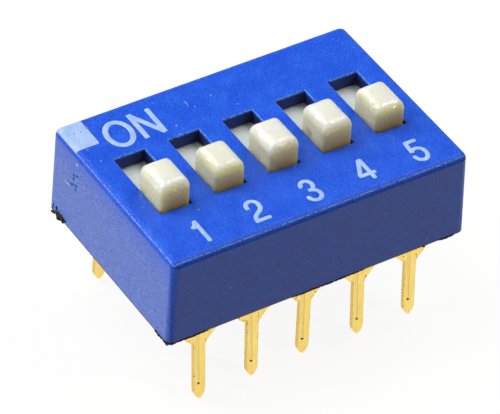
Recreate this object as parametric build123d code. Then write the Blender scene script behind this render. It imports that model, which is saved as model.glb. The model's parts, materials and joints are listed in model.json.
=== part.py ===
"""A five-position slide DIP switch for a 2.54 mm grid: moulded blue cover, black base, cream
sliders with bridging contacts, and two rows of stamped, grooved, gold-plated terminals.

Frame: +X runs along the positions from 1 to 5, +Y points to the ON side, +Z is up.
The origin is the centre of the pin pattern on the surface of the board. Millimetres."""

from build123d import *
from math import cos, radians, tan
import os

# Pin pattern
POSITIONS = 5
PITCH = 2.54
ROW_SPACING = 7.62

# Cover: a drafted box open at the bottom, with a slot over each slider
RIM_HEIGHT = 1.30
COVER_HEIGHT = 4.15
COVER_LENGTH_TOP, COVER_LENGTH_RIM = 13.89, 14.16
COVER_WIDTH_TOP, COVER_WIDTH_RIM = 9.48, 9.58
WALL = 0.62
TOP_PLATE = 0.66
CORNER_RADIUS = 0.30
TOP_EDGE_RADIUS = 0.28
SLOT_WIDTH, SLOT_LENGTH = 1.44, 3.73
SLOT_EDGE_RADIUS = 0.05

# Sliders: a slab under the cover, a knob through the slot and a stud that holds the contact
TRAVEL = 1.85
CLEARANCE = 0.03
KNOB_WIDTH, KNOB_LENGTH = 1.38, 1.82
KNOB_RISES = (1.25, 1.12, 1.28, 1.26, 1.14)
KNOB_SIDE_PLAY = -0.01
KNOB_CORNER_RADIUS, KNOB_TOP_RADIUS = 0.22, 0.42
SLAB_WIDTH, SLAB_THICKNESS = 2.00, 0.75
SLAB_OVERLAP = 0.12
STUD_WIDTH, STUD_LENGTH = 0.40, 0.50

# Bridging contact: a sprung strip with two forked arms
CONTACT_THICKNESS, CONTACT_WIDTH = 0.12, 0.80
CONTACT_REACH, CONTACT_SADDLE, CONTACT_CURL = 1.05, 0.36, 0.28
CONTACT_BEND = 0.13
FORK_WIDTH = 0.16
CONTACT_OFFSET = -0.27

# Base: channels for the contacts, ledges and fins that guide the sliders
BASE_UNDERSIDE, BASE_FLOOR = 1.75, 2.60
CHANNEL_WIDTH, CHANNEL_LENGTH = 1.54, 6.80
FIN_WIDTH = 0.42
BASE_GAP = 0.03
LUG_GAP = 0.03
LUG_WIDTH, LUG_HEIGHT, LUG_DEPTH = 1.20, 0.45, 0.12

# Potting that seals the underside, a little below flush with the rim
POTTING_UNDERSIDE = 1.35

# Terminals: strip bent down through the base, tapered from shoulder to pin
STRIP = 0.20
PAD_TOP, PAD_WIDTH = 2.75, 0.90
PAD_GAP_START, PAD_GAP_END = 0.10, 0.80
STRIP_BEND = 0.25
SHOULDER_WIDTH, SHOULDER_TOP = 1.60, 2.30
PIN_WIDTH, NECK_Z = 0.53, -0.16
SHOULDER_TAPER_TOP = 0.38
NECK_RADIUS = 0.32
TIP_ARC = 0.56
GROOVE_WIDTH, GROOVE_X = 0.40, -0.05
GROOVE_DEPTH, GROOVE_END_DEPTH = 0.10, 0.04
GROOVE_TOP, GROOVE_END_ABOVE_TIP = 1.05, 0.79
RIDGE_WIDTH, RIDGE_HEIGHT = 0.30, 0.06
PIT_X, PIT_WIDTH, PIT_HEIGHT, PIT_DEPTH = -0.02, 0.12, 0.13, 0.14

# Each leg leans outwards below the rim: degrees of lean and height of the tip
FRONT_LEGS = ((4.0, -3.04), (3.0, -3.01), (1.1, -3.04), (4.0, -2.93), (3.8, -2.97))
REAR_LEG = (2.6, -3.00)

# How far a cutting shape reaches past the solid that it cuts, and how closely a place has to match
# where an edge or a corner is picked by it
MARGIN, MATCH = 1.0, 0.005

# Values worked out from the sizes above
TOP_Z = RIM_HEIGHT + COVER_HEIGHT
CEILING_Z = TOP_Z - TOP_PLATE
SLAB_TOP = CEILING_Z - CLEARANCE
SLAB_BOTTOM = SLAB_TOP - SLAB_THICKNESS
LEDGE_Z = SLAB_BOTTOM - CLEARANCE
CAVITY_LENGTH = COVER_LENGTH_RIM - 2 * WALL
CAVITY_WIDTH = COVER_WIDTH_RIM - 2 * WALL
KNOB_FRONT = -SLOT_LENGTH / 2 + CLEARANCE
KNOB_CENTRE = KNOB_FRONT + KNOB_LENGTH / 2
SLAB_FRONT = -SLOT_LENGTH / 2 - TRAVEL - SLAB_OVERLAP
SLAB_BACK = SLOT_LENGTH / 2 + SLAB_OVERLAP
CONTACT_CENTRE = KNOB_CENTRE + CONTACT_OFFSET
PAD_MIDDLE = PAD_TOP - STRIP / 2


def position_x(number):
    """Centre of a position along the row, numbered from 1 at the left."""
    return (number - (POSITIONS + 1) / 2) * PITCH


def box_between(x_range, y_range, z_range):
    """A box given by its two limits along each axis."""
    sizes = [high - low for low, high in (x_range, y_range, z_range)]
    centre = [(high + low) / 2 for low, high in (x_range, y_range, z_range)]
    return Pos(*centre) * Box(*sizes)


def edges_at_height(solid, height):
    """The edges of a solid that lie wholly at one height."""

    def is_level(edge):
        box = edge.bounding_box()
        return abs(box.min.Z - height) < MATCH and abs(box.max.Z - height) < MATCH

    return solid.edges().filter_by(is_level)


def lug(side, growth=0.0):
    """Snap lug on an end wall of the base, or with growth the pocket that it clicks into."""
    face_x = side * (CAVITY_LENGTH / 2 - BASE_GAP)
    depth = LUG_DEPTH + growth
    height = LUG_HEIGHT + 2 * growth
    profile = Polyline((0, 0), (depth, height), (0, height), close=True)
    wedge = extrude(Plane.XZ * make_face(profile), LUG_WIDTH / 2 + growth, both=True)
    if side < 0:
        wedge = mirror(wedge, Plane.YZ)
    return Pos(face_x, 0, BASE_FLOOR - growth) * wedge


def make_cover():
    """Drafted shell with rounded edges, five slots and two snap pockets."""
    rim = RectangleRounded(COVER_LENGTH_RIM, COVER_WIDTH_RIM, CORNER_RADIUS)
    top = RectangleRounded(COVER_LENGTH_TOP, COVER_WIDTH_TOP, CORNER_RADIUS)
    cover = loft([Pos(0, 0, RIM_HEIGHT) * rim, Pos(0, 0, TOP_Z) * top])
    cover = fillet(edges_at_height(cover, TOP_Z), TOP_EDGE_RADIUS)
    half_length, half_width = CAVITY_LENGTH / 2, CAVITY_WIDTH / 2
    cover -= box_between(
        (-half_length, half_length),
        (-half_width, half_width),
        (RIM_HEIGHT - MARGIN, CEILING_Z),
    )
    for number in range(1, POSITIONS + 1):
        cover -= Pos(position_x(number), 0, TOP_Z) * Box(SLOT_WIDTH, SLOT_LENGTH, 2 * TOP_PLATE + MARGIN)
    last_edge = position_x(POSITIONS) + SLOT_WIDTH / 2

    def borders_slot(edge):
        centre = edge.center()
        return abs(centre.Y) < SLOT_LENGTH / 2 + MATCH and abs(centre.X) < last_edge + MATCH

    slot_edges = edges_at_height(cover, TOP_Z).filter_by(borders_slot)
    cover = fillet(slot_edges, SLOT_EDGE_RADIUS)
    for side in (-1, 1):
        cover -= lug(side, growth=LUG_GAP)
    return cover


def make_base(terminals):
    """Block with a channel under each slider, ledges for the slabs and fins between them."""
    half_length, half_width = CAVITY_LENGTH / 2 - BASE_GAP, CAVITY_WIDTH / 2 - BASE_GAP
    base = box_between(
        (-half_length, half_length),
        (-half_width, half_width),
        (BASE_UNDERSIDE, CEILING_Z),
    )
    for number in range(1, POSITIONS + 1):
        x = position_x(number)
        bay = (PITCH - FIN_WIDTH) / 2
        base -= box_between(
            (x - bay, x + bay),
            (-half_width - MARGIN, half_width + MARGIN),
            (LEDGE_Z, CEILING_Z + MARGIN),
        )
        base -= box_between(
            (x - CHANNEL_WIDTH / 2, x + CHANNEL_WIDTH / 2),
            (-CHANNEL_LENGTH / 2, CHANNEL_LENGTH / 2),
            (BASE_FLOOR, LEDGE_Z + MARGIN),
        )
    for side in (-1, 1):
        base += lug(side)
    for terminal in terminals:
        base -= terminal
    return base


def make_potting(terminals):
    """Layer of potting between the cover walls, round the terminals."""
    half_length, half_width = CAVITY_LENGTH / 2, CAVITY_WIDTH / 2
    potting = box_between(
        (-half_length, half_length),
        (-half_width, half_width),
        (POTTING_UNDERSIDE, BASE_UNDERSIDE),
    )
    for terminal in terminals:
        potting -= terminal
    return potting


def make_slider(rise):
    """Slab, rounded knob and contact stud as one moulding, at the OFF end of its travel. The knob's
    top is rise above the cover: the photo's knobs aren't equally high."""
    half_slab = SLAB_WIDTH / 2
    slab = box_between((-half_slab, half_slab), (SLAB_FRONT, SLAB_BACK), (SLAB_BOTTOM, SLAB_TOP))
    knob_bottom = SLAB_TOP - SLAB_THICKNESS / 2
    knob = box_between(
        (KNOB_SIDE_PLAY - KNOB_WIDTH / 2, KNOB_SIDE_PLAY + KNOB_WIDTH / 2),
        (KNOB_FRONT, KNOB_FRONT + KNOB_LENGTH),
        (knob_bottom, TOP_Z + rise),
    )
    knob = fillet(knob.edges().filter_by(Axis.Z), KNOB_CORNER_RADIUS)
    knob = fillet(edges_at_height(knob, TOP_Z + rise), KNOB_TOP_RADIUS)
    stud = box_between(
        (-STUD_WIDTH / 2, STUD_WIDTH / 2),
        (CONTACT_CENTRE - STUD_LENGTH / 2, CONTACT_CENTRE + STUD_LENGTH / 2),
        (SLAB_BOTTOM - 2 * CONTACT_THICKNESS, SLAB_BOTTOM + CONTACT_THICKNESS),
    )
    return slab + knob + stud


def make_contact():
    """Bridging spring: a saddle under the slab and two forked arms that touch the pads."""
    saddle_z = SLAB_BOTTOM - CONTACT_THICKNESS / 2
    touch_z = PAD_TOP + CONTACT_THICKNESS / 2 + CLEARANCE / 2
    right_half = [
        (CONTACT_SADDLE, saddle_z),
        (CONTACT_REACH, touch_z),
        (CONTACT_REACH + CONTACT_CURL, touch_z + CONTACT_CURL),
    ]
    left_half = [(-y, z) for y, z in reversed(right_half)]
    centreline = FilletPolyline(*left_half, *right_half, radius=CONTACT_BEND)
    profile = trace(centreline, CONTACT_THICKNESS)
    strip = extrude(Plane.YZ * profile, CONTACT_WIDTH / 2, both=True)
    for side in (-1, 1):
        fork_y = side * (CONTACT_REACH + CONTACT_SADDLE) / 2
        fork_length = CONTACT_REACH + 2 * CONTACT_CURL
        low, high = sorted((fork_y - side * CONTACT_THICKNESS, fork_y + side * fork_length))
        strip -= box_between((-FORK_WIDTH / 2, FORK_WIDTH / 2), (low, high), (PAD_TOP, SLAB_TOP))
    strip -= Pos(0, 0, saddle_z) * Box(STUD_WIDTH, STUD_LENGTH, MARGIN)
    return Pos(0, CONTACT_CENTRE, 0) * strip


def terminal_outline(tip_z):
    """Front view of a terminal: pad width, shoulder, taper, pin and pointed tip."""
    pad, shoulder, pin = PAD_WIDTH / 2, SHOULDER_WIDTH / 2, PIN_WIDTH / 2
    tip_rise = (TIP_ARC**2 - (TIP_ARC - pin) ** 2) ** 0.5
    arc_z = tip_z + tip_rise
    step = shoulder - pad
    right = Polyline(
        (pad, PAD_TOP + STRIP),
        (pad, SHOULDER_TOP + step),
        (shoulder, SHOULDER_TOP),
        (shoulder, SHOULDER_TAPER_TOP),
        (pin, NECK_Z),
        (pin, arc_z),
    )
    right_tip = RadiusArc((pin, arc_z), (0, tip_z), TIP_ARC)
    left = mirror(right, Plane.YZ)
    left_tip = mirror(right_tip, Plane.YZ)
    top = Line((-pad, PAD_TOP + STRIP), (pad, PAD_TOP + STRIP))
    outline = make_face(Curve() + [right, right_tip, left, left_tip, top])
    necks = outline.vertices().filter_by(lambda v: abs(v.Y - NECK_Z) < MATCH)
    return fillet(necks, NECK_RADIUS)


def make_terminal(pad_end, lean, tip_z):
    """A terminal of the front row: its pad runs back to pad_end, its leg leans out by lean degrees."""
    row_y = -ROW_SPACING / 2
    out, down = tan(radians(lean)), cos(radians(lean))
    below_tip = tip_z - MARGIN
    path = FilletPolyline(
        (pad_end, PAD_MIDDLE),
        (row_y, PAD_MIDDLE),
        (row_y, RIM_HEIGHT),
        (row_y - (RIM_HEIGHT - below_tip) * out, below_tip),
        radius=STRIP_BEND,
    )
    strip = extrude(Plane.YZ * trace(path, STRIP), SHOULDER_WIDTH, both=True)
    front_view = extrude(Plane.XZ * terminal_outline(tip_z), ROW_SPACING, both=True)
    terminal = strip & front_view

    # The groove, its pit and the ridge behind it run along the leaning leg. The groove was coined a
    # little to the left of the middle, and gets shallower towards its pit.
    def on_leg(shape):
        return Pos(0, row_y, RIM_HEIGHT) * Rot(-lean, 0, 0) * shape

    face = STRIP / 2
    groove_top = (GROOVE_TOP - RIM_HEIGHT) / down
    groove_end = (tip_z + GROOVE_END_ABOVE_TIP - RIM_HEIGHT) / down

    def vee(depth, z):
        half = GROOVE_WIDTH / 2 * depth / GROOVE_DEPTH
        outline = Polyline((-half, -face), (0, depth - face), (half, -face), (0, -STRIP), close=True)
        return Pos(GROOVE_X, 0, z) * make_face(outline)

    groove_ends = [vee(GROOVE_END_DEPTH, groove_end), vee(GROOVE_DEPTH, groove_top)]
    terminal -= on_leg(loft(groove_ends, ruled=True))
    left, right, half_height = PIT_X - PIT_WIDTH / 2, PIT_X + PIT_WIDTH / 2, PIT_HEIGHT / 2
    pit_outline = Polyline((left, half_height), (right, 0), (left, -half_height), close=True)
    pit = Plane.XZ * make_face(pit_outline)
    terminal -= on_leg(Pos(0, PIT_DEPTH - face, groove_end) * extrude(pit, STRIP))
    half_ridge = RIDGE_WIDTH / 2
    ridge = make_face(
        Polyline((-half_ridge, face), (0, face + RIDGE_HEIGHT), (half_ridge, face), (0, face / 2), close=True)
    )
    terminal += on_leg(Pos(GROOVE_X, 0, groove_end) * extrude(ridge, groove_top - groove_end))
    return terminal


def main():
    """Build every piece and write one STEP file for each."""
    numbers = range(1, POSITIONS + 1)
    rear = mirror(make_terminal(-PAD_GAP_END, *REAR_LEG), Plane.XZ)
    pieces = {}
    for number in numbers:
        front = make_terminal(PAD_GAP_START, *FRONT_LEGS[number - 1])
        pieces[f"front_terminal_{number}"] = Pos(position_x(number), 0, 0) * front
        pieces[f"rear_terminal_{number}"] = Pos(position_x(number), 0, 0) * rear
    terminals = list(pieces.values())
    pieces["cover"] = make_cover()
    pieces["base"] = make_base(terminals)
    pieces["epoxy_seal"] = make_potting(terminals)
    contact = make_contact()
    for number in numbers:
        slider = make_slider(KNOB_RISES[number - 1])
        pieces[f"slider_{number}"] = Pos(position_x(number), 0, 0) * slider
        pieces[f"contact_{number}"] = Pos(position_x(number), 0, 0) * contact
    os.makedirs("parts", exist_ok=True)
    for name, piece in pieces.items():
        export_step(piece, f"parts/{name}.step")
        print(f"{name}: {piece.volume:.3f} mm3, {len(piece.solids())} solid")


if __name__ == "__main__":
    main()
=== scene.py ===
# %% [markdown]
# # A slide DIP switch, dressed around its solids
#
# The real object is a row of five small switches for a circuit board. A blue moulded cover stands
# on ten gold pins, cream sliders poke through its slots, and a pad printer has put a word, five
# digits and a corner mark on it. The solids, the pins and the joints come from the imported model,
# and this script gives them their finish, the ink, the dried potting and a small photo studio.
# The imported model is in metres, so sizes on the part are written in millimetres and multiplied by
# MM. Only the studio round it, which is far larger, is in metres.

# %% Load the solids as a fixed frame
import json

import bpy
import numpy as np
from mathutils import Matrix, Vector

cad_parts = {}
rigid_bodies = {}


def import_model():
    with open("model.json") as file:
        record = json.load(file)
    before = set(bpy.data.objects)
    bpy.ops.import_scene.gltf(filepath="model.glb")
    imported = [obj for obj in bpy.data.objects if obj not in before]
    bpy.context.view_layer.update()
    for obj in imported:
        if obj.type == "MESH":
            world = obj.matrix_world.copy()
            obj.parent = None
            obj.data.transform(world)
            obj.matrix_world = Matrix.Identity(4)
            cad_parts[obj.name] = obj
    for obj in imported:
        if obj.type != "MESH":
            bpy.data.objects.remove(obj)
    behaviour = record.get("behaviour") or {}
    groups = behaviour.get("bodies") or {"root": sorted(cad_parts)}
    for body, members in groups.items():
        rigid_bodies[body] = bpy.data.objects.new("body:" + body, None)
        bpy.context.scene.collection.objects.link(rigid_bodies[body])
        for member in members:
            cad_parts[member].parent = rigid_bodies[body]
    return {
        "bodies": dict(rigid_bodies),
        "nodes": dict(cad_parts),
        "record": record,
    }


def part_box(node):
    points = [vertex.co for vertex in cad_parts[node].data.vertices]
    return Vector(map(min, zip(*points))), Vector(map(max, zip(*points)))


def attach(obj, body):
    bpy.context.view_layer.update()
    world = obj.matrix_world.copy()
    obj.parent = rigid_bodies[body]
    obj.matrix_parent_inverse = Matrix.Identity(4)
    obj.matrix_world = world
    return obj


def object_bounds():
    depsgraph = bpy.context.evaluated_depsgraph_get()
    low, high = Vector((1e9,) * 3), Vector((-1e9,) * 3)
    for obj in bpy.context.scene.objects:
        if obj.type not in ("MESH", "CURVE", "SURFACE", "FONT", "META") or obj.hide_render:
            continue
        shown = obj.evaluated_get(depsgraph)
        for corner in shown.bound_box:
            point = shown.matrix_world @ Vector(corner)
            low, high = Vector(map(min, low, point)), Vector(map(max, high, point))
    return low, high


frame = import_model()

MM = 0.001
PITCH = 2.54
packed = set(frame["nodes"].values()) | set(frame["bodies"].values())
for thing in set(bpy.data.objects) - packed:
    bpy.data.objects.remove(thing)
cad_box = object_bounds()
POSITIONS = sum(name.startswith("slider_") for name in frame["nodes"])
print(len(frame["nodes"]), "solids,", POSITIONS, "positions")

# %% [markdown]
# ## The camera
#
# The view was worked out from the corners of the cover and of its slots in the photograph: a long
# lens from the front left, looking down at about 41 degrees, with the camera turned a little about
# its own line of sight. Three turns make the matrix: its columns are the picture's right, its up
# and the way back from the object to the lens.

# %% Camera
LOOK_AT = Vector((-0.959, -0.911, 3.0)) * MM
CAMERA_DISTANCE = 162.09 * MM
AZIMUTH, ELEVATION, ROLL = np.radians([-33.915, 41.492, 3.429])
FOCAL_PIXELS, IMAGE_WIDTH, SENSOR_WIDTH = 4000, 500, 36.0

way_back = Vector((
    np.sin(AZIMUTH) * np.cos(ELEVATION),
    -np.cos(AZIMUTH) * np.cos(ELEVATION),
    np.sin(ELEVATION),
))
level_right = Vector((0, 0, 1)).cross(way_back).normalized()
level_up = way_back.cross(level_right)
right = level_right * np.cos(ROLL) + level_up * np.sin(ROLL)
up = way_back.cross(right)
turn = Matrix((right, up, way_back)).transposed().to_4x4()

camera = bpy.data.objects.new("camera", bpy.data.cameras.new("camera"))
camera.data.sensor_width = SENSOR_WIDTH
camera.data.lens = FOCAL_PIXELS * SENSOR_WIDTH / IMAGE_WIDTH
camera.data.clip_start, camera.data.clip_end = 0.001, 20
camera.matrix_world = Matrix.Translation(LOOK_AT + way_back * CAMERA_DISTANCE) @ turn
bpy.context.scene.collection.objects.link(camera)
bpy.context.scene.camera = camera
bpy.context.scene.view_settings.view_transform = "Standard"
print("lens", round(camera.data.lens), "mm, camera at", [round(c / MM, 1) for c in camera.location])

# %% [markdown]
# ## Shader sums written as Python
#
# A finish is a handful of masks that are added and multiplied. Linking Math nodes by hand hides
# the formula, so one small class wraps an output socket: a sum or product of wires adds the Math
# node for it, and one method adds any other node.


# %% Wires between shader nodes
class Wire:
    """One output of a node, which takes part in Python sums. Each sum adds its Math node."""

    def __init__(self, tree, socket):
        self.tree, self.socket = tree, socket

    def node(self, kind, settings=None, inputs=None, output=0):
        """Adds a node: its settings first, then a value or a wire for each input, by name or number."""
        made = self.tree.nodes.new("ShaderNode" + kind)
        for name, value in (settings or {}).items():
            setattr(made, name, value)
        for name, value in (inputs or {}).items():
            if isinstance(value, Wire):
                self.tree.links.new(value.socket, made.inputs[name])
            else:
                made.inputs[name].default_value = value
        return Wire(self.tree, made.outputs[output])

    def math(self, operation, *values, clamp=False):
        """Adds a Math node with that operation on numbers or wires."""
        settings = {"operation": operation, "use_clamp": clamp}
        return self.node("Math", settings, dict(enumerate(values)))

    def __add__(self, other):
        return self.math("ADD", self, other)

    def __sub__(self, other):
        return self.math("SUBTRACT", self, other)

    def __rsub__(self, other):
        return self.math("SUBTRACT", other, self)

    def __mul__(self, other):
        return self.math("MULTIPLY", self, other)

    def __truediv__(self, other):
        return self.math("DIVIDE", self, other)

    def __lt__(self, other):
        return self.math("LESS_THAN", self, other)

    def __gt__(self, other):
        return self.math("GREATER_THAN", self, other)

    __radd__, __rmul__ = __add__, __mul__

    def rise(self, low, high):
        """0 below low and 1 above high, with a straight climb between. With high under low it falls."""
        return self.math("MULTIPLY", self - low, 1 / (high - low), clamp=True)

    def either(self, other):
        """The larger of two masks."""
        return self.math("MAXIMUM", self, other)

    def blend(self, first, second):
        """Colour first where this mask is 0 and colour second where it is 1."""
        return self.node("Mix", {"data_type": "RGBA"}, {0: self, 6: first, 7: second}, output=2)

    def vector(self, operation, other, output=0):
        """Adds a Vector Math node with that operation on this vector and another."""
        return self.node("VectorMath", {"operation": operation}, {0: self, 1: other}, output)

    def noise(self, size, detail=2.0, stretch=(1, 1, 1)):
        """Cloudy pattern round 0.5, whose blotches are about size across, in metres."""
        place = self.vector("MULTIPLY", stretch)
        return self.node("TexNoise", inputs={"Vector": place, "Scale": 1 / size, "Detail": detail})

    def specks(self, spacing, size, share):
        """1 on round specks, in that share of the cells of a Voronoi pattern."""
        cell = {"Vector": self, "Scale": 1 / spacing}
        distance = self.node("TexVoronoi", inputs=cell)
        colour = self.node("TexVoronoi", inputs=cell, output="Color")
        chance = self.node("SeparateColor", inputs={"Color": colour})
        return distance.rise(size / spacing, 0.6 * size / spacing) * (chance < share)

    def spot(self, centre, radii, soft=0.4):
        """1 inside an ellipsoid and 0 outside. The distance from its centre is divided by its radii."""
        offset = self.vector("SUBTRACT", [c * MM for c in centre])
        scaled = offset.vector("MULTIPLY", [1 / (r * MM) for r in radii])
        distance = scaled.node("VectorMath", {"operation": "LENGTH"}, {0: scaled}, "Value")
        return distance.rise(1 + soft, 1 - soft)

    def spots(self, centres, radii, soft=0.4):
        """Several such ellipsoids of one size."""
        mask = self.spot(centres[0], radii, soft)
        for centre in centres[1:]:
            mask = mask.either(self.spot(centre, radii, soft))
        return mask

    def ragged(self, size, reach):
        """The same place, shaken by a noise of that size, by up to about reach. Makes edges ragged."""
        shake = self.node("TexNoise", inputs={"Vector": self, "Scale": 1 / size}, output="Color")
        shake = shake.vector("SUBTRACT", [0.5] * 3)
        return self.vector("ADD", shake.vector("MULTIPLY", [2 * reach] * 3))

    def axes(self):
        """The x, y and z of a place."""
        return [self.node("SeparateXYZ", inputs={"Vector": self}, output=axis) for axis in "XYZ"]

    def unsigned(self):
        """The same number without its sign."""
        return self.math("ABSOLUTE", self)

    def from_position(self):
        """How far this x is from the middle of the nearest switch position, with its sign."""
        steps = self / (PITCH * MM)
        return self - steps.math("ROUND", steps) * (PITCH * MM)


def start_finish(name, constants):
    """A new material: constants go on its shader's sockets. Gives material, shader and place."""
    material = bpy.data.materials.new(name)
    material.use_nodes = True
    shader = material.node_tree.nodes["Principled BSDF"]
    for socket, value in constants.items():
        shader.inputs[socket].default_value = value
    place = Wire(material.node_tree, None).node("TexCoord", output="Object")
    return material, shader, place


def plug(shader, **wires):
    """Links wires to the shader: Base_Color=wire goes to its Base Color socket."""
    for name, wire in wires.items():
        wire.tree.links.new(wire.socket, shader.inputs[name.replace("_", " ")])


def bump(height, depth):
    """Surface relief: height from 0 to 1 stands for depth metres."""
    return height.node("Bump", inputs={"Height": height, "Strength": 1.0, "Distance": depth})


def paint(colour, coats):
    """Lays coats over a colour, one after the other. Each is a mask and the colour where it is 1,
    so a mask times 0.8 covers to that share."""
    for mask, coat in coats:
        colour = mask.blend(colour, coat)
    return colour


finishes = {}


def add_finish(slot, material):
    """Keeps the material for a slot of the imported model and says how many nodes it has."""
    finishes[slot] = material
    print(slot, "has", len(material.node_tree.nodes), "nodes")


print("wires ready")

# %% [markdown]
# ## Blue moulded plastic
#
# The cover's mould was spark-eroded, so the plastic has a fine satin grain, and its blue is
# slightly cloudy. Just inside the edges of the top runs a pale line that is a painted highlight,
# and the backs of the slots have one too. The walls of the slots are painted in dark shade, most
# of all at their right, where little light gets in. The left end is paler with a painted sheen, and
# the rim is brown where potting wetted it. Pale flecks and dust lie on the faces. Pictures of
# wear would blur up close and need a layout of the faces, so every mark is a mask on the place
# itself, in millimetres from the board's middle.

# %% Colours of the cover
DEEP_BLUE, BLUE = (0.004, 0.064, 0.64, 1), (0.008, 0.104, 0.84, 1)
# The pale edge blue is a painted highlight.
CLOUDY_BLUE, EDGE_HIGHLIGHT_BLUE = (0.021, 0.160, 0.96, 1), (0.20, 0.40, 0.99, 1)
# The end colour is a painted sheen, and the fleck blue also paints the highlight behind the slots.
FLECK_AND_HIGHLIGHT_BLUE, END_SHEEN_COLOUR, DUST = (0.14, 0.42, 0.99, 1), (0.28, 0.38, 0.50, 1), (0.42, 0.52, 0.85, 1)
# Painted shade for the walls of the slots.
SLOT_SHADE_BLUE, SLOT_SHADE_DARK = (0.0, 0.014, 0.19, 1), (0.0, 0.003, 0.05, 1)
SCUFF_DARK, SCUFF_BRIGHT = (0.002, 0.01, 0.07, 1), (0.03, 0.27, 0.90, 1)
SPECK_BROWN, SPECK_ORANGE = (0.035, 0.02, 0.008, 1), (0.50, 0.30, 0.12, 1)
SCRATCH_WHITE, FILM_BROWN = (0.75, 0.78, 0.85, 1), (0.018, 0.012, 0.004, 1)
print("cover colours ready")

# %% [markdown]
# The single marks were measured on the photograph, each as the middle and the radii of an
# ellipsoid that cuts the face. On the left end are a blue scuff with dark pits, a white scratch
# and a nick. On the front are a brown speck and a dark smear, and on the edge of the corner mark
# is an orange speck. Noise shakes the place before most of them, which makes their edges ragged.

# %% Marks on the cover
TOP_Z, FRONT_Y, END_X = 5.45, -4.77, -7.0
TOP_DUST = [
    (-6.4, 2.88, TOP_Z), (-6.27, 2.03, TOP_Z), (-2.66, 1.93, TOP_Z), (-2.52, 2.46, TOP_Z),
    (-1.23, 3.13, TOP_Z), (-0.31, 3.42, TOP_Z), (0.38, 2.43, TOP_Z), (-4.37, -2.38, TOP_Z),
]
FRONT_DUST = [
    (-2.0, FRONT_Y, 3.05), (0.55, FRONT_Y, 2.15), (0.8, FRONT_Y, 2.3),
    (5.2, FRONT_Y, 1.65), (5.55, FRONT_Y, 2.45), (-4.2, FRONT_Y, 3.1),
]
DUST_RADII = (0.035, 0.035, 0.035)
FIBRE = (-1.45, 3.45, TOP_Z), (0.02, 0.2, 0.05)
SCUFFS, SCUFF_RADII = [(END_X, 2.86, 3.77), (END_X, 2.87, 4.27)], (0.4, 0.22, 0.19)
SCUFF_PITS = [
    (END_X, 2.95, 4.27), (END_X, 2.97, 4.08), (END_X, 2.73, 4.38), (END_X, 2.95, 3.79),
    (END_X, 2.73, 3.85), (END_X, 2.77, 3.63), (END_X, 3.10, 3.70),
]
PIT_RADII = (0.3, 0.075, 0.07)
SCRATCH = (END_X, 3.43, 3.5), (0.3, 0.2, 0.028)
NICK = (END_X, 2.77, 4.95), (0.3, 0.05, 0.045)
SMEAR = (-4.8, FRONT_Y, 4.95), (0.22, 0.3, 0.1)
FRONT_SPECK = (-5.27, FRONT_Y, 2.77), (0.1, 0.3, 0.08)
MARK_SPECK = (-5.79, 4.1, TOP_Z), (0.06, 0.09, 0.1)
RAGGED = 0.13 * MM, 0.07 * MM
print(len(TOP_DUST + FRONT_DUST), "grains of dust,", len(SCUFF_PITS), "pits")

# %% [markdown]
# Lines and bands that follow the moulding are steps in its own coordinates. The distance inwards
# from the outline of the top draws the painted highlight along it. The distance from the nearest
# slot's outline draws the painted highlight behind the slots. Height tells the walls of the slots,
# the rounded edges and the rim from the top. The rounded edges, the slot walls and the pits are
# rougher, which spreads the lamps' reflections there until they hardly show.

# %% Cover finish
EDGE_X, EDGE_Y, EDGE_LOW_Z = 6.954, 4.743, 5.30
LINE_OUT, LINE_START, LINE_END, LINE_IN = 0.055, 0.075, 0.10, 0.12
ROUND_LOW_Z, ROUND_HIGH_Z = 5.18, 5.4497
CORNER_START_X, CORNER_FULL_X, CORNER_START_Y, CORNER_FULL_Y = 6.80, 6.93, 4.50, 4.64
# Where the painted sheen on the left end starts and where it is full.
SHEEN_START_X, SHEEN_FULL_X = -6.93, -6.99
SLOT_EDGE_Z, SLOT_DEEP_Z, SLOT_REACH_X, SLOT_REACH_Y = 5.44, 5.28, 6.2, 1.95
SLOT_HALF_X, SLOT_HALF_Y, SLOT_LINE_LOW_Z = 0.72, 1.865, 5.38
SLOT_LINE_IN, SLOT_LINE_FULL, SLOT_LINE_OUT = -0.03, 0.02, 0.05
RIM_FILM_Z = 1.36
GRAIN_SIZE, CLOUD_SIZE, GRAIN_DEPTH = 0.065, 0.9, 0.014


def highlight_inside_edge(x, y, z):
    """Mask of the pale line just inside the outline of the top, a painted highlight."""
    inside_x, inside_y = EDGE_X * MM - x.unsigned(), EDGE_Y * MM - y.unsigned()
    inwards = inside_x.math("MINIMUM", inside_x, inside_y)
    band = inwards.rise(LINE_OUT * MM, LINE_START * MM) * inwards.rise(LINE_IN * MM, LINE_END * MM)
    return band * (z > EDGE_LOW_Z * MM)


def rounded_edges(x, y, z):
    """Mask of the rounding round the top, and weaker of the four upright corners."""
    corner_x = x.unsigned().rise(CORNER_START_X * MM, CORNER_FULL_X * MM)
    corner_y = y.unsigned().rise(CORNER_START_Y * MM, CORNER_FULL_Y * MM)
    at_top = (z > ROUND_LOW_Z * MM) * (z < ROUND_HIGH_Z * MM)
    return (corner_x * corner_y * 0.6).either(at_top)


def slot_walls(x, y, z, beside):
    """Mask of the walls in the slots, and the painted shade laid on them, darker towards the right.

    beside is how far x is from the middle of the nearest slot."""
    walls = z.rise(SLOT_EDGE_Z * MM, SLOT_DEEP_Z * MM)
    walls = walls * (y.unsigned() < SLOT_REACH_Y * MM) * (x.unsigned() < SLOT_REACH_X * MM)
    to_right = beside.rise(-0.5 * SLOT_HALF_X * MM, SLOT_HALF_X * MM)
    return walls, to_right.blend(SLOT_SHADE_BLUE, SLOT_SHADE_DARK)


def slot_highlight_lines(y, z, beside):
    """Mask of the painted highlight round the back half of each slot, at its upper edge."""
    across = beside.unsigned() - SLOT_HALF_X * MM
    beyond = across.either(y - SLOT_HALF_Y * MM)
    band = beyond.rise(SLOT_LINE_OUT * MM, SLOT_LINE_FULL * MM) * (beyond > SLOT_LINE_IN * MM)
    return band * (y > 0) * (z > SLOT_LINE_LOW_Z * MM)


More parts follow.
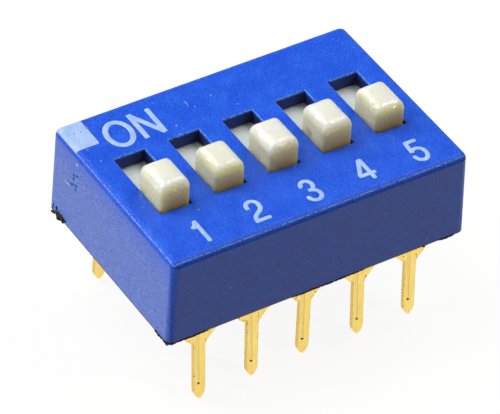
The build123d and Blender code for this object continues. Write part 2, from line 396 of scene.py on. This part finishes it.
def cover_finish():
    material, shader, place = start_finish("blue_plastic", {"IOR": 1.5})
    x, y, z = place.axes()
    ragged = place.ragged(*RAGGED)
    grain = place.noise(GRAIN_SIZE * MM, detail=2)
    clouds = place.noise(CLOUD_SIZE * MM, detail=4)
    # A painted sheen on the left end.
    end_sheen = x.rise(SHEEN_START_X * MM, SHEEN_FULL_X * MM) * grain.rise(0.3, 0.66)
    # A painted highlight just inside the top's edge.
    edge_highlight = highlight_inside_edge(x, y, z) * grain.rise(0.40, 0.52)
    flecks = place.specks(0.24 * MM, 0.032 * MM, 0.3).either(place.specks(0.12 * MM, 0.018 * MM, 0.2))
    dust = ragged.spots(TOP_DUST + FRONT_DUST, DUST_RADII).either(ragged.spot(*FIBRE))
    scuff = ragged.spots(SCUFFS, SCUFF_RADII, soft=0.3)
    pits = ragged.spots(SCUFF_PITS, PIT_RADII, soft=0.5)
    scratch = place.spot(*SCRATCH).either(ragged.spot(*NICK))
    beside = x.from_position()
    walls, wall_painted_shade = slot_walls(x, y, z, beside)
    ragged_z = ragged.axes()[2]
    colour = paint(grain.rise(0.36, 0.56).blend(DEEP_BLUE, BLUE), [
        ((clouds * 0.4 + grain * 0.6).rise(0.46, 0.66), CLOUDY_BLUE),
        # The painted sheen on the left end, then the painted highlight at the top's edge.
        (end_sheen * 0.55, END_SHEEN_COLOUR),
        (edge_highlight * 0.8, EDGE_HIGHLIGHT_BLUE),
        (flecks * 0.75, FLECK_AND_HIGHLIGHT_BLUE),
        (dust * 0.8, DUST),
        (scuff * grain.rise(0.35, 0.5), SCUFF_BRIGHT),
        (pits, SCUFF_DARK),
        (scratch, SCRATCH_WHITE),
        (ragged.spot(*SMEAR, soft=0.8) * 0.6, SCUFF_DARK),
        (ragged.spot(*FRONT_SPECK), SPECK_BROWN),
        (ragged.spot(*MARK_SPECK), SPECK_ORANGE),
        # Painted shade on the walls of the slots.
        (walls * 0.93, wall_painted_shade),
        # A painted highlight behind the slots.
        (slot_highlight_lines(y, z, beside) * grain.rise(0.4, 0.55) * 0.7, FLECK_AND_HIGHLIGHT_BLUE),
        ((ragged_z < RIM_FILM_Z * MM) * 0.85, FILM_BROWN),
    ])
    rough = walls.either(rounded_edges(x, y, z)).either(pits)
    height = grain + edge_highlight * 0.3 + flecks * 0.5 + dust * 0.7 + scratch - pits
    plug(
        shader,
        Base_Color=colour,
        Roughness=clouds.rise(0.3, 0.7) * 0.05 + 0.32 + rough * 0.35,
        Normal=bump(height, GRAIN_DEPTH * MM),
    )
    return material


add_finish("cover_plastic", cover_finish())

# %% [markdown]
# ## Cream slider plastic
#
# The sliders are a glossier plastic that lets some light through. Subsurface scattering gives
# that: light that enters the top of a knob comes out of its shaded sides. On top of that, the sides
# and the front are given painted shade: yellower and darker colours than the top, most of all low
# down at the front. The skin is slightly rippled, which breaks the lamps' reflections on the
# rounded edges into sparkles. A brown stain marks the left side of knob 4, and a speck lies on the
# slab behind it.

# %% Slider finish
CREAM, CREAM_SHADE, SLAB_CREAM = (0.90, 0.93, 0.84, 1), (0.87, 0.89, 0.77, 1), (0.78, 0.86, 0.77, 1)
# Painted shade for the knobs' sides and fronts, upper and lower.
SHADE_SIDE_UPPER, SHADE_SIDE_LOWER = (0.97, 0.90, 0.58, 1), (0.90, 0.83, 0.38, 1)
SHADE_FRONT_UPPER, SHADE_FRONT_LOWER = (0.97, 0.88, 0.36, 1), (0.74, 0.57, 0.07, 1)
STAIN_BROWN, SLAB_DARK = (0.16, 0.08, 0.02, 1), (0.05, 0.04, 0.03, 1)
SIDE_START_Z, SIDE_FULL_Z, FRONT_START_Y, FRONT_FULL_Y = 6.64, 6.30, -1.6, -1.85
KNOB_HIGH_Z, KNOB_LOW_Z, SLAB_Z = 6.30, 5.45, 4.80
STAIN = (1.84, -0.72, 5.67), (0.12, 0.17, 0.13)
SLAB_SPECK = (2.15, 1.0, 4.76), (0.04, 0.04, 0.1)
RIPPLE_SIZE, RIPPLE_DEPTH = 0.12, 0.026


def slider_finish():
    constants = {
        "Subsurface Weight": 1.0,
        "Subsurface Radius": (1.0, 0.88, 0.5),
        "Subsurface Scale": 1.0 * MM,
        "IOR": 1.62,
    }
    material, shader, place = start_finish("cream_plastic", constants)
    x, y, z = place.axes()
    clouds = place.noise(CLOUD_SIZE * MM, detail=2)
    ripple = place.noise(RIPPLE_SIZE * MM, detail=0)
    down = z.rise(KNOB_HIGH_Z * MM, KNOB_LOW_Z * MM)
    # The painted shade darkens towards the slot.
    side, front = down.blend(SHADE_SIDE_UPPER, SHADE_SIDE_LOWER), down.blend(SHADE_FRONT_UPPER, SHADE_FRONT_LOWER)
    at_front = y.rise(FRONT_START_Y * MM, FRONT_FULL_Y * MM)
    stain = place.ragged(0.2 * MM, 0.08 * MM).spot(*STAIN, soft=0.8)
    colour = paint(clouds.rise(0.35, 0.7).blend(CREAM, CREAM_SHADE), [
        # Painted shade on the sides and the front.
        (z.rise(SIDE_START_Z * MM, SIDE_FULL_Z * MM), at_front.blend(side, front)),
        (z < SLAB_Z * MM, SLAB_CREAM),
        (stain * 0.45, STAIN_BROWN),
        (place.spot(*SLAB_SPECK), SLAB_DARK),
    ])
    roughness = clouds.rise(0.3, 0.7) * 0.04 + 0.06
    plug(shader, Base_Color=colour, Roughness=roughness, Normal=bump(ripple, RIPPLE_DEPTH * MM))
    return material


add_finish("slider_plastic", slider_finish())

# %% [markdown]
# ## Gold plating
#
# The terminals are stamped from strip and plated. The plating is bright and slightly streaked
# along the pin, and browner along the sheared edges of the legs, with small dark nicks. The
# groove down each front leg is in the solid, but it is only a tenth of a millimetre deep, so a
# darker valley of painted shade and a bright line of painted highlight beside it, which the eye
# reads as its slopes, are painted in.

# %% Gold finish
GOLD, DEEP_GOLD, NICK_BROWN = (1.0, 0.76, 0.24, 1), (0.95, 0.66, 0.15, 1), (0.16, 0.09, 0.02, 1)
# Painted shade for the groove's valley and a painted highlight beside it.
GROOVE_SHADE_GOLD, HIGHLIGHT_GOLD = (0.74, 0.55, 0.12, 1), (1.0, 0.97, 0.72, 1)
EDGE_GOLD = (0.72, 0.46, 0.08, 1)
NICKED_X, SHEARED_X, VALLEY_X, BRIGHT_X = 0.225, 0.25, -0.02, -0.08
VALLEY_HALF, VALLEY_CORE, BRIGHT_HALF, BRIGHT_CORE = 0.032, 0.012, 0.05, 0.02
GROOVE_HIGH_Z, GROOVE_LOW_Z = 1.0, -2.15


def gold_finish():
    material, shader, place = start_finish("gold_plating", {"Metallic": 1.0})
    x, y, z = place.axes()
    beside = x.from_position()
    streaks = place.noise(0.07 * MM, detail=3, stretch=(1, 1, 0.12))
    clouds = place.noise(0.5 * MM)
    nicks = place.specks(0.32 * MM, 0.03 * MM, 0.14)
    edge_nicks = place.specks(0.13 * MM, 0.04 * MM, 0.45) * (beside.unsigned() > NICKED_X * MM)
    nicks = nicks.either(edge_nicks)
    in_groove = (y < 0) * (z < GROOVE_HIGH_Z * MM) * (z > GROOVE_LOW_Z * MM)
    bright = (beside - BRIGHT_X * MM).unsigned().rise(BRIGHT_HALF * MM, BRIGHT_CORE * MM)
    valley = (beside - VALLEY_X * MM).unsigned().rise(VALLEY_HALF * MM, VALLEY_CORE * MM)
    colour = paint((streaks * 0.6 + clouds * 0.4).rise(0.35, 0.68).blend(GOLD, DEEP_GOLD), [
        ((beside.unsigned() > SHEARED_X * MM) * (z < 0) * 0.7, EDGE_GOLD),
        # A painted highlight and painted shade along the groove.
        (bright * in_groove, HIGHLIGHT_GOLD),
        (valley * in_groove, GROOVE_SHADE_GOLD),
        (nicks, NICK_BROWN),
    ])
    roughness = streaks.rise(0.3, 0.7) * 0.15 + 0.24
    relief = bump(streaks * 0.5 - nicks, 0.01 * MM)
    plug(shader, Base_Color=colour, Roughness=roughness, Normal=relief)
    return material


add_finish("gold_plate", gold_finish())
add_finish("gold_spring", gold_finish())

# %% [markdown]
# ## Black base and dark potting
#
# The base is a plain black moulding, hidden from every side. The potting is a resin that was
# poured in and crept a little, so it is browner and uneven. Its lumps are noise, which moves its
# colour, gloss and relief together, as they do on a real skin of resin. The resin that dried
# outside on the rim has this finish too.

# %% Base and potting finishes
BASE_BLACK, BASE_GREY = (0.012, 0.012, 0.014, 1), (0.03, 0.03, 0.033, 1)
POTTING_BLACK, POTTING_BROWN = (0.006, 0.004, 0.001, 1), (0.055, 0.03, 0.003, 1)


def base_finish():
    material, shader, place = start_finish("black_plastic", {"IOR": 1.5})
    grain = place.noise(0.1 * MM, detail=3)
    plug(
        shader,
        Base_Color=place.noise(0.8 * MM).rise(0.3, 0.7).blend(BASE_BLACK, BASE_GREY),
        Roughness=grain * 0.2 + 0.4,
        Normal=bump(grain, 0.005 * MM),
    )
    return material


def potting_finish():
    material, shader, place = start_finish("potting_resin", {"IOR": 1.35, "Specular IOR Level": 0.25})
    lumps = place.noise(0.25 * MM, detail=4)
    plug(
        shader,
        Base_Color=lumps.rise(0.35, 0.75).blend(POTTING_BLACK, POTTING_BROWN),
        Roughness=lumps.rise(0.3, 0.7) * 0.35 + 0.25,
        Normal=bump(lumps, 0.04 * MM),
    )
    return material


add_finish("base_plastic", base_finish())
add_finish("potting", potting_finish())

# %% [markdown]
# ## Printing ink
#
# Pad-printed ink is a pale blue-white film, about a hundredth of a millimetre thick, thinner in
# clouds, with a slightly pitted surface where it took the grain of the plastic. The corner mark has
# two dark dust pits and an orange speck on its edge.

# %% Ink finish
INK, INK_THIN, INK_PIT = (0.47, 0.65, 0.99, 1), (0.30, 0.48, 0.93, 1), (0.12, 0.2, 0.5, 1)
MARK_PITS, MARK_PIT_RADII = [(-6.12, 3.95, TOP_Z), (-6.4, 4.0, TOP_Z)], (0.035, 0.035, 0.06)


def ink_finish():
    material, shader, place = start_finish("pale_ink", {"IOR": 1.5})
    grain = place.noise(0.1 * MM, detail=3)
    clouds = place.noise(0.5 * MM)
    pits = place.specks(0.28 * MM, 0.025 * MM, 0.12)
    colour = paint((grain * 0.5 + clouds * 0.5).rise(0.38, 0.66).blend(INK, INK_THIN), [
        (pits * 0.6, INK_PIT),
        (place.spots(MARK_PITS, MARK_PIT_RADII), INK_PIT),
        (place.ragged(*RAGGED).spot(*MARK_SPECK), SPECK_ORANGE),
    ])
    plug(shader, Base_Color=colour, Roughness=grain * 0.2 + 0.4, Normal=bump(grain - pits, 0.012 * MM))
    return material


add_finish("print_ink", ink_finish())

# %% [markdown]
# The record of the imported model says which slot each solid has, so the solids take their finishes
# from it in one go.

# %% Finishes onto the solids
for entry in frame["record"]["subparts"]:
    slots = frame["nodes"][entry["node"]].data.materials
    slots.clear()
    slots.append(finishes[entry["material_slot"]])
print("finishes:", ", ".join(finishes))

# %% [markdown]
# ## A skin over rings
#
# Ink and dried resin are both rounded strips: a closed loop of points is carried along a path and
# shrinks to a point at either end. So one function turns an array of rings into a closed mesh,
# with quads between the rings and a fan of triangles at each end.


# %% Rings to mesh
def skin_faces(rings, around, first):
    """Faces of one closed strip whose vertices start at first: quads, then two end fans."""
    ring, spoke = np.meshgrid(np.arange(rings - 1), np.arange(around), indexing="ij")
    here = first + ring * around + spoke
    beside = first + ring * around + (spoke + 1) % around
    quads = np.stack([here, beside, beside + around, here + around], -1).reshape(-1, 4)
    spokes = np.arange(around)
    after = (spokes + 1) % around
    start_pole, end_pole = first + rings * around, first + rings * around + 1
    last = first + (rings - 1) * around
    start_fan = np.stack([np.full(around, start_pole), first + after, first + spokes], -1)
    end_fan = np.stack([np.full(around, end_pole), last + spokes, last + after], -1)
    return quads.tolist() + start_fan.tolist() + end_fan.tolist()


def add_piece(name, strips, finish):
    """One piece from strips of rings, each an array (rings, points around, 3) in metres."""
    points, faces, first = [], [], 0
    for strip in strips:
        rings, around, _ = strip.shape
        poles = strip[[0, -1]].mean(1)
        points += [strip.reshape(-1, 3), poles]
        faces += skin_faces(rings, around, first)
        first += rings * around + len(poles)
    mesh = bpy.data.meshes.new(name)
    mesh.from_pydata(np.concatenate(points).tolist(), [], faces)
    mesh.polygons.foreach_set("use_smooth", np.ones(len(mesh.polygons), bool))
    mesh.materials.append(finish)
    piece = bpy.data.objects.new(name, mesh)
    bpy.context.scene.collection.objects.link(piece)
    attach(piece, "housing")
    print(name, len(mesh.vertices), "points")


print("ring skins ready")

# %% [markdown]
# ## The print
#
# A letter is a few strokes of a pen: straight lines and arcs of ellipses, each given by a few
# points measured on the cover. A text object would be quicker, but its font would not match this
# plain hand. A stroke of ink has a flat bottom, a slightly domed top, and ends with rounded
# corners. It lies on the cover, so its height follows the cover's top, also down the rounded edge
# that the corner mark runs over. The walls lean, so where that rounding starts they have come in
# from the rim by DRAFT_INSET.

# %% Where the ink lies
cover_low, cover_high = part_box("cover")
COVER_TOP = cover_high.z
COVER_MIDDLE = np.array((cover_low + cover_high)[:2]) / 2
DRAFT_INSET = np.array((0.126, 0.047)) * MM
HALF_TOP = np.array((cover_high - cover_low)[:2]) / 2 - DRAFT_INSET
CORNER_RADIUS, EDGE_RADIUS = 0.30 * MM, 0.28 * MM
INK_DEPTH, INK_SUNK, INK_INSET = 0.014 * MM, 0.004 * MM, 0.02 * MM
INK_STEP, FEWEST_STEPS, END_STEPS, END_ANGLE = 0.04 * MM, 8, 6, 0.12
print("cover top at", round(COVER_TOP / MM, 2), "mm")


def cover_height(place):
    """Height of the cover's top at x, y: flat, then falling as a quarter circle at the edge.

    The distance inwards from a rounded rectangle is its corner radius less the distance from the
    rectangle of its corners' centres. A quarter circle of radius r drops r - sqrt(r^2 - (r - d)^2)
    at distance d inwards from the wall."""
    beyond = np.abs(place - COVER_MIDDLE) - (HALF_TOP - CORNER_RADIUS)
    outside = np.hypot(*np.moveaxis(np.maximum(beyond, 0), -1, 0))
    inwards = CORNER_RADIUS - outside - np.minimum(beyond.max(-1), 0)
    reach = np.clip(EDGE_RADIUS - inwards, 0, EDGE_RADIUS)
    return COVER_TOP - EDGE_RADIUS + np.sqrt(EDGE_RADIUS**2 - reach**2)


def within_cover(place, inset):
    """Pulls points in to a rounded rectangle that lies inset inside the cover's outline.

    A point's offset from its corner's centre is cut to the corner radius less the inset."""
    side = np.sign(place - COVER_MIDDLE)
    beyond = np.abs(place - COVER_MIDDLE) - (HALF_TOP - CORNER_RADIUS)
    outside = np.maximum(beyond, 0)
    length = np.hypot(*np.moveaxis(outside, -1, 0))[..., None]
    excess = 1 - np.minimum(1, (CORNER_RADIUS - inset) / np.maximum(length, 1e-9))
    return place - side * outside * excess


def ink_stroke(path, width, corner=0.05, edge=4, columns=9):
    """A strip of ink along a path of x, y points in millimetres.

    The half width is constant but for its rounded end corners, where it is
    w - c + sqrt(c^2 - (c - s)^2) at distance s from the end, for corner radius c. Across the strip
    the ink's height is 1 - q^edge, where q runs from -1 to 1."""
    path = np.asarray(path, float) * MM
    half, corner = width * MM / 2, corner * MM
    steps = np.linalg.norm(np.diff(path, axis=0), axis=1)
    along = np.concatenate([[0], np.cumsum(steps)])
    bend = corner * (1 - np.cos(np.linspace(END_ANGLE, np.pi / 2, END_STEPS)))
    count = max(FEWEST_STEPS, int(along[-1] / INK_STEP))
    middle = np.linspace(corner, along[-1] - corner, count)
    stations = np.concatenate([bend[:-1], middle, along[-1] - bend[:-1][::-1]])
    spine = np.stack([np.interp(stations, along, path[:, axis]) for axis in (0, 1)], 1)
    heading = np.gradient(spine, stations, axis=0)
    heading /= np.linalg.norm(heading, axis=1)[:, None]
    sideways = np.stack([-heading[:, 1], heading[:, 0]], 1)
    from_end = np.clip(np.minimum(stations, along[-1] - stations), 0, corner)
    half_width = half - corner + np.sqrt(corner**2 - (corner - from_end) ** 2)
    across = np.sin(np.linspace(-np.pi / 2, np.pi / 2, columns))
    across = np.concatenate([across, across[::-1][1:-1]])
    upper = np.arange(len(across)) < columns
    flat = spine[:, None] + sideways[:, None] * half_width[:, None, None] * across[None, :, None]
    flat = within_cover(flat, INK_INSET)
    film = np.where(upper, INK_DEPTH * (1 - across**edge), -INK_SUNK)
    height = cover_height(flat) + film
    return np.concatenate([flat, height[..., None]], -1)[:, ::-1]


def line(start, end, steps=24):
    """Points from start to end: start + t (end - start)."""
    t = np.linspace(0, 1, steps)[:, None]
    return np.array(start) + t * (np.array(end) - np.array(start))


def arc(centre, radii, start, end, steps=40):
    """Points on an ellipse, centre + (rx cos a, ry sin a), for a from start to end in degrees."""
    a = np.radians(np.linspace(start, end, steps))
    return np.array(centre) + np.stack([radii[0] * np.cos(a), radii[1] * np.sin(a)], 1)


# %% Word and corner mark
UPRIGHT_PEN, ROUND_PEN = 0.225, 0.24
O_CENTRE, O_RADII, O_LEAN = (-4.80, 3.13), (0.528, 0.725), 0.045
N_LEFT_STROKE = line((-3.91, 2.34), (-3.91, 3.97))
N_RIGHT_STROKE = line((-3.08, 2.34), (-3.06, 3.95))
N_SLANT_STROKE = line((-3.93, 3.96), (-3.07, 2.35))
letter_o = arc(O_CENTRE, O_RADII, 90, 450, steps=120)
letter_o[:, 0] += O_LEAN * (letter_o[:, 1] - O_CENTRE[1])
word = [
    ink_stroke(letter_o, ROUND_PEN),
    ink_stroke(N_LEFT_STROKE, UPRIGHT_PEN),
    ink_stroke(N_RIGHT_STROKE, UPRIGHT_PEN),
    ink_stroke(N_SLANT_STROKE, ROUND_PEN),
]
add_piece("word_on", word, finishes["print_ink"])

MARK_LEFT, MARK_RIGHT, MARK_FRONT, MARK_BACK = -6.89, -5.79, 3.0, 4.74
mark_middle = (MARK_FRONT + MARK_BACK) / 2
mark_path = line((MARK_LEFT, mark_middle), (MARK_RIGHT, mark_middle))
mark = ink_stroke(mark_path, MARK_BACK - MARK_FRONT, edge=16, columns=41)
add_piece("corner_mark", [mark], finishes["print_ink"])

# %% [markdown]
# The digits are about 1.35 mm tall and stand in front of their slots, a little to the right. Each
# is drawn round its own middle, in the pen strokes of a plain sans-serif hand.

# %% Digits
DIGIT_SHIFT, DIGIT_Y, DIGIT_PEN, DIGIT_CORNER = 0.14, -3.52, 0.19, 0.07
neck_of_2 = [
    (0.25, 0.09), (0.12, -0.06), (-0.05, -0.16), (-0.19, -0.28), (-0.26, -0.42), (-0.275, -0.57),
]
flag_of_1 = [(-0.26, 0.31), (-0.14, 0.35), (-0.03, 0.46), (0.03, 0.64)]
DIGIT_STROKES = {
    1: [
        line((0.04, -0.67), (0.04, 0.69)),
        flag_of_1,
        line((-0.2, 0.3), (0.03, 0.36)),
    ],
    2: [
        np.concatenate([arc((0.01, 0.31), (0.265, 0.285), 205, -20), neck_of_2]),
        line((-0.37, -0.555), (0.36, -0.555)),
    ],
    3: [
        arc((0.005, 0.315), (0.25, 0.28), 190, -62),
        line((-0.09, 0.02), (0.2, 0.02)),
        arc((0.0, -0.3), (0.285, 0.31), 88, -190),
    ],
    4: [
        line((0.16, -0.63), (0.16, 0.68)),
        line((0.13, 0.66), (-0.34, -0.27)),
        line((-0.4, -0.26), (0.4, -0.26)),
    ],
    5: [
        line((-0.27, 0.58), (0.31, 0.58)),
        line((-0.18, 0.64), (-0.25, -0.05)),
        arc((0.0, -0.235), (0.295, 0.37), 150, -180),
    ],
}
for number in range(1, POSITIONS + 1):
    middle = np.array(((number - (POSITIONS + 1) / 2) * PITCH + DIGIT_SHIFT, DIGIT_Y))
    paths = [middle + np.array(stroke) for stroke in DIGIT_STROKES[number]]
    strokes = [ink_stroke(path, DIGIT_PEN, DIGIT_CORNER) for path in paths]
    add_piece(f"digit_{number}", strokes, finishes["print_ink"])

# %% [markdown]
# ## Dried resin at the rim
#
# When the underside was potted, some resin ran round the rim. It dried as a dark ragged clump at the
# back of the left end, as drops further along it, and as a thin uneven line under the front and
# round the front left corner. A sculpted lump would do as well, but a lumpy string along a few
# points can be measured: each has its thickness and its points, as y, z on the end face and as
# x, z on the front face.

# %% Dried resin
RIM_Z, RIM_X, RIM_Y, DRAFT_X = 1.30, 7.085, 4.795, 0.0325
END_STRINGS = [
    (0.060, [(4.55, 1.20), (4.40, 1.22), (4.25, 1.30), (4.08, 1.44)]),
    (0.075, [(4.15, 1.36), (4.05, 1.46), (3.89, 1.45), (3.70, 1.45), (3.55, 1.44), (3.42, 1.36)]),
    (0.050, [(4.15, 1.30), (4.05, 1.24), (3.98, 1.17), (3.87, 1.16)]),
    (0.050, [(3.90, 1.36), (3.82, 1.28), (3.76, 1.22)]),
    (0.035, [(3.72, 1.34), (3.66, 1.26), (3.56, 1.22)]),
    (0.035, [(4.17, 1.70), (4.13, 1.60), (4.12, 1.50)]),
    (0.018, [(4.40, 1.68), (4.43, 1.50), (4.47, 1.29)]),
    (0.035, [(-3.75, 1.34), (-3.95, 1.30), (-4.10, 1.27), (-4.28, 1.30), (-4.42, 1.33)]),
    (0.030, [(-4.38, 1.33), (-4.60, 1.29), (-4.78, 1.28)]),
]
FRONT_STRINGS = [
    (0.026, [(-6.75, 1.29), (-6.37, 1.30), (-5.98, 1.28), (-5.69, 1.29), (-5.2, 1.30)]),
    (0.024, [(-1.3, 1.30), (-0.8, 1.28), (-0.2, 1.30), (0.5, 1.28), (1.3, 1.30), (2.2, 1.30)]),
    (0.028, [(5.02, 1.28), (5.14, 1.28)]),
    (0.030, [(5.80, 1.31), (6.05, 1.29), (6.35, 1.29), (6.60, 1.31)]),
]
CORNER_THICKNESS = 0.040
CORNER_STRING = [
    (-7.08, -4.40, 1.30), (-7.06, -4.62, 1.28), (-6.99, -4.71, 1.27),
    (-6.88, -4.77, 1.27), (-6.70, -4.79, 1.29),
]
STRING_STEP, STRING_AROUND, FEWEST_RINGS = 0.02 * MM, 12, 16
WAVE_LENGTH, WAVE_HEIGHT = 0.1 * MM, 0.6
NEVER_ALONG = (0.3, 0.3, 1.0)


def resin_string(path, thickness, seed):
    """A lumpy closed string along a path of x, y, z points in millimetres.

    At s, from 0 to 1 along it, its radius is thickness (1 - (2s - 1)^4)^(1/2) (1 + h w), where w is
    the mean of three waves that turn round the string as they run along it and h their height.
    Its rings are spanned from a direction that no string runs along."""
    path = np.asarray(path) * MM
    steps = np.linalg.norm(np.diff(path, axis=0), axis=1)
    along = np.concatenate([[0], np.cumsum(steps)])
    count = max(FEWEST_RINGS, int(along[-1] / STRING_STEP))
    s = (1 - np.cos(np.linspace(END_ANGLE, np.pi - END_ANGLE, count))) / 2
    spine = np.stack([np.interp(s * along[-1], along, path[:, axis]) for axis in range(3)], 1)
    heading = np.gradient(spine, axis=0)
    heading /= np.linalg.norm(heading, axis=1)[:, None]
    sideways = np.cross(heading, NEVER_ALONG)
    sideways /= np.linalg.norm(sideways, axis=1)[:, None]
    upwards = np.cross(heading, sideways)
    angle = np.linspace(0, 2 * np.pi, STRING_AROUND, endpoint=False)
    reach = s[:, None] * along[-1] / WAVE_LENGTH
    phases = np.random.default_rng(seed).uniform(0, 2 * np.pi, 3)
    waves = [np.sin(k * angle + (4 - k) * reach + phase) for k, phase in zip((1, 2, 3), phases)]
    taper = np.sqrt(1 - (2 * s - 1) ** 4)[:, None]
    radius = thickness * MM * taper * (1 + WAVE_HEIGHT * np.mean(waves, 0))
    ring = np.cos(angle)[:, None] * sideways[:, None] + np.sin(angle)[:, None] * upwards[:, None]
    return spine[:, None] + radius[..., None] * ring


strings = [[(DRAFT_X * (z - RIM_Z) - RIM_X, y, z) for y, z in points] for _, points in END_STRINGS]
strings += [[(x, -RIM_Y, z) for x, z in points] for _, points in FRONT_STRINGS]
strings.append(CORNER_STRING)
thicknesses = [thickness for thickness, _ in END_STRINGS + FRONT_STRINGS] + [CORNER_THICKNESS]
resin = [resin_string(path, thicknesses[seed], seed) for seed, path in enumerate(strings)]
add_piece("dried_resin", resin, finishes["potting"])

# %% [markdown]
# ## Floor, sky and lamps
#
# The photograph has a plain white ground and soft light from above and from the left, with the
# front in shade. The floor is white for the camera and for reflections, and the sky is white for
# the camera and dim in reflections. For the soft light that falls on the object both are dim, so
# the lamps alone shape it. Part of the floor's white is lit by the lamps, so that it keeps the
# object's shadow. A plain white floor under the same lamps would be grey, or would need so much
# light that the blue would wash out.

# %% Floor and sky
FLOOR_HALF = 2.0
FLOOR_Z = cad_box[0][2]
FLOOR_GLOW, FLOOR_LIT, FLOOR_DIM = 0.91, (0.12, 0.12, 0.12, 1), (0.14, 0.14, 0.14, 1)
SKY_FILL, SKY_GLOSS = 0.02, 0.12


def white_ground():
    material = bpy.data.materials.new("white_ground")
    material.use_nodes = True
    tree = material.node_tree
    tree.nodes.clear()
    start = Wire(tree, None)
    seen = start.node("LightPath", output="Is Camera Ray")
    seen = seen.either(start.node("LightPath", output="Is Glossy Ray"))
    seen = seen.either(start.node("LightPath", output="Is Transmission Ray"))
    glow = start.node("Emission", inputs={"Color": (1, 1, 1, 1), "Strength": FLOOR_GLOW})
    lit = start.node("BsdfDiffuse", inputs={"Color": FLOOR_LIT})
    shown = start.node("AddShader", inputs={0: glow, 1: lit})
    dim = start.node("BsdfDiffuse", inputs={"Color": FLOOR_DIM})
    surface = seen.node("MixShader", inputs={0: seen, 1: dim, 2: shown})
    output = tree.nodes.new("ShaderNodeOutputMaterial")
    tree.links.new(surface.socket, output.inputs["Surface"])
    return material


floor_mesh = bpy.data.meshes.new("floor")
corners = [(-1, -1), (1, -1), (1, 1), (-1, 1)]
floor_points = [(x * FLOOR_HALF, y * FLOOR_HALF, FLOOR_Z) for x, y in corners]
floor_mesh.from_pydata(floor_points, [], [(0, 1, 2, 3)])
floor_mesh.materials.append(white_ground())
floor = bpy.data.objects.new("floor", floor_mesh)
bpy.context.scene.collection.objects.link(floor)

world = bpy.data.worlds.new("sky")
world.use_nodes = True
bpy.context.scene.world = world
sky = Wire(world.node_tree, None)
seen, through, mirrored = [
    sky.node("LightPath", output=f"Is {ray} Ray") for ray in ("Camera", "Transmission", "Glossy")
]
strength = seen.either(through) + mirrored * (SKY_GLOSS - SKY_FILL) + SKY_FILL
background = world.node_tree.nodes["Background"]
background.inputs["Color"].default_value = (1, 1, 1, 1)
world.node_tree.links.new(strength.socket, background.inputs["Strength"])
print("floor at", round(FLOOR_Z / MM, 2), "mm")

# %% [markdown]
# A large soft lamp stands at the back left and a smaller one at the right, so the top is bright
# and the front is in shade. A low lamp at the left lights the end face. Two small lamps draw the
# sparkle on the knobs' upper edges: a warm one at the front right and a white one at the back
# left. They are small, because a small lamp gives a small bright reflection, and weak, so that the
# large lamps go on shaping the faces.

# %% Lamps
LAMP_DISTANCE = 0.4
WHITE, WARM = (1, 1, 1), (1.0, 0.8, 0.5)


def softbox(name, azimuth, elevation, size, level, colour=WHITE):
    """A square lamp that looks at the board's middle. Azimuth 0 is the front and 90 the right.

    level is how bright it makes white paper that faces it. Paper lit by P watts from a lamp d
    metres away has a brightness of P / (pi d)^2, so that sum is turned round to give the watts."""
    lamp = bpy.data.lights.new(name, "AREA")
    lamp.size = size
    lamp.energy = level * (np.pi * LAMP_DISTANCE) ** 2
    lamp.color = colour
    azimuth, elevation = np.radians([azimuth, elevation])
    towards = Vector((
        np.sin(azimuth) * np.cos(elevation),
        -np.cos(azimuth) * np.cos(elevation),
        np.sin(elevation),
    ))
    holder = bpy.data.objects.new(name, lamp)
    turn = towards.to_track_quat("Z", "Y").to_matrix().to_4x4()
    holder.matrix_world = Matrix.Translation(towards * LAMP_DISTANCE) @ turn
    bpy.context.scene.collection.objects.link(holder)


softbox("left_back_lamp", azimuth=-137, elevation=55, size=0.3, level=0.69)
softbox("right_lamp", azimuth=95, elevation=58, size=0.22, level=0.43)
softbox("low_left_lamp", azimuth=-97, elevation=8, size=0.1, level=0.33)
softbox("front_sparkle_lamp", azimuth=34, elevation=42, size=0.02, level=0.17, colour=WARM)
softbox("left_sparkle_lamp", azimuth=-134, elevation=26, size=0.02, level=0.12)
print("lamps ready")
